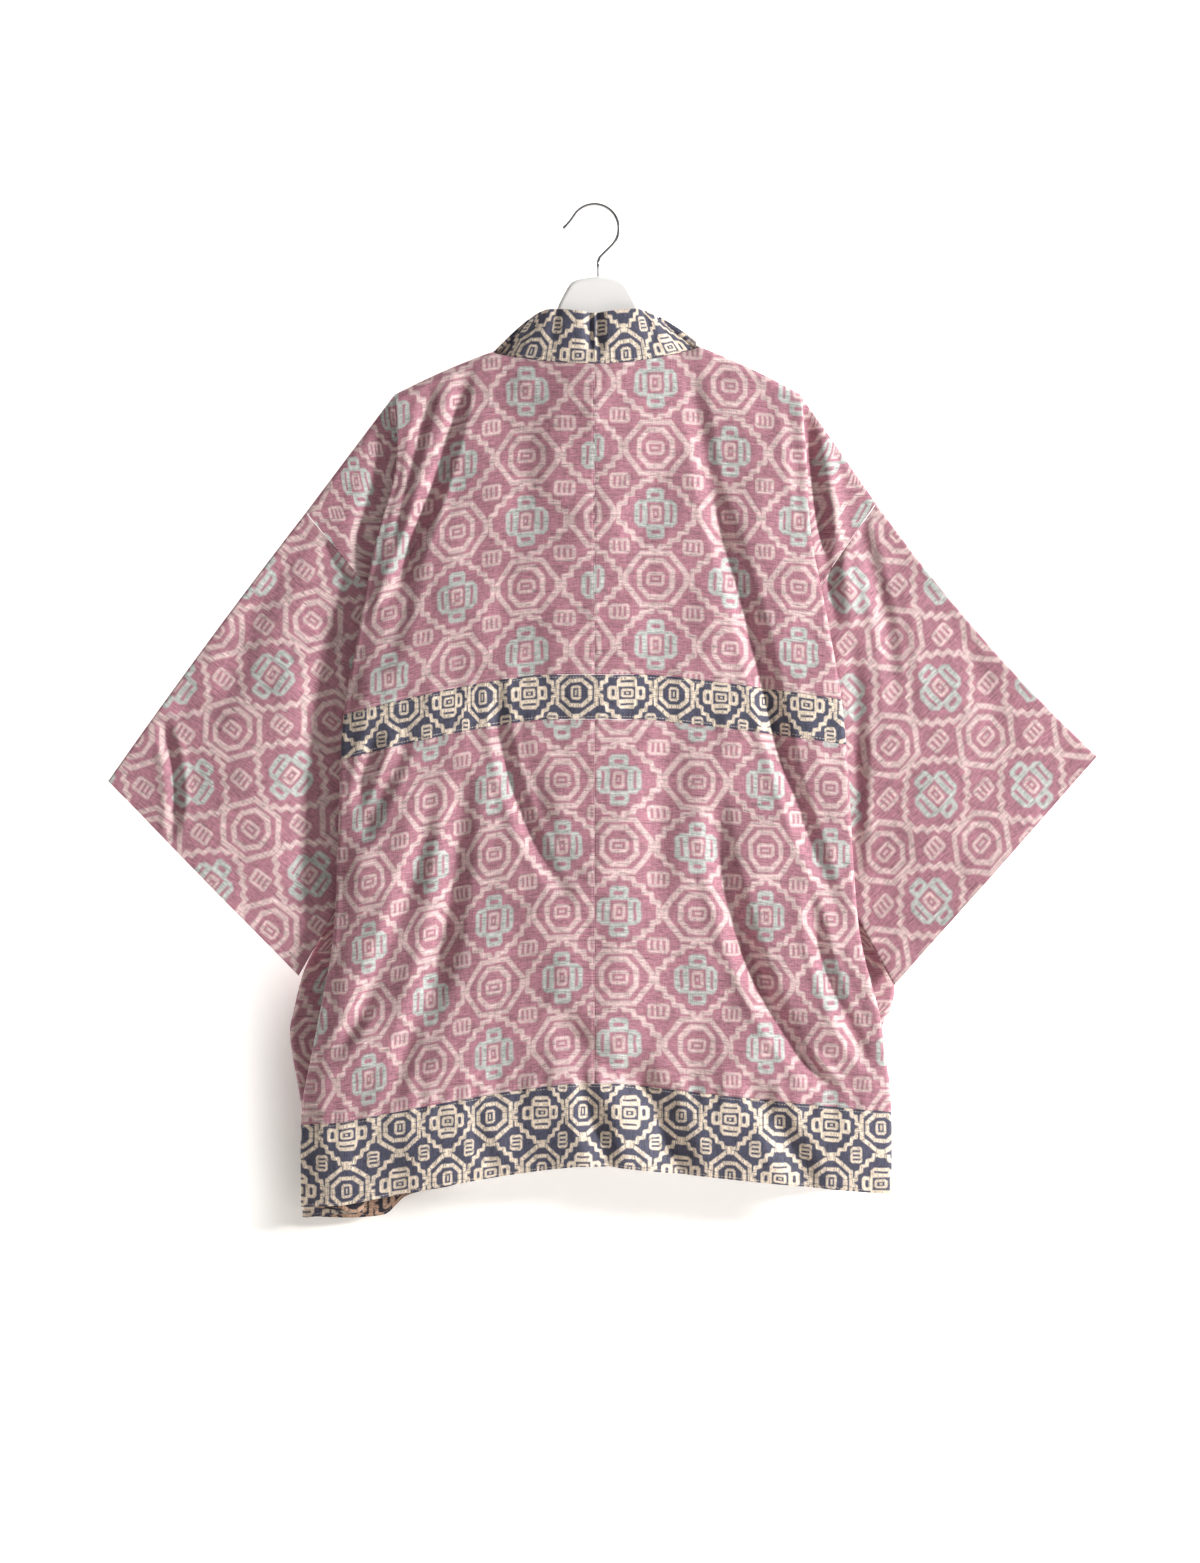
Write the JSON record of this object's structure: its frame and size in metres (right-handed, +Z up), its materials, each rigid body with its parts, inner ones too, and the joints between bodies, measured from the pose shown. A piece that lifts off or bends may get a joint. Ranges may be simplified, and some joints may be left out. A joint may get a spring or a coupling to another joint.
{
  "type": "kimono on hanger",
  "caption": "Hip-length kimono jacket hanging flat on a white hanger: patterned body and wide sleeves, contrasting neck, waist and hem bands.",
  "frame": {"origin": "the inside top of the hanger's hook, on the rod it hangs on", "axes": "+Z up, -Y out of the garment's back, +X towards the wearer's right sleeve"},
  "size_m": [0.9394, 0.0895, 0.9666],
  "materials": {
    "body_cloth": "soft woven cloth, mauve-pink with a pale lattice pattern",
    "trim_cloth": "soft woven cloth, dark blue with a cream lattice pattern",
    "hanger_white": "smooth white",
    "hook_metal": "polished wire"
  },
  "bodies": {
    "root": {"back_upper_left": "body_cloth", "back_upper_right": "body_cloth", "back_lower_left": "body_cloth", "back_lower_right": "body_cloth", "front_left": "body_cloth", "front_right": "body_cloth", "sleeve_left": "body_cloth", "sleeve_right": "body_cloth", "waist_band": "trim_cloth", "hem_back": "trim_cloth", "hem_front_left": "trim_cloth", "hem_front_right": "trim_cloth", "neck_band_left": "trim_cloth", "neck_band_right": "trim_cloth", "hanger": "hanger_white", "hanger_hook": "hook_metal"}
  },
  "joints": []
}
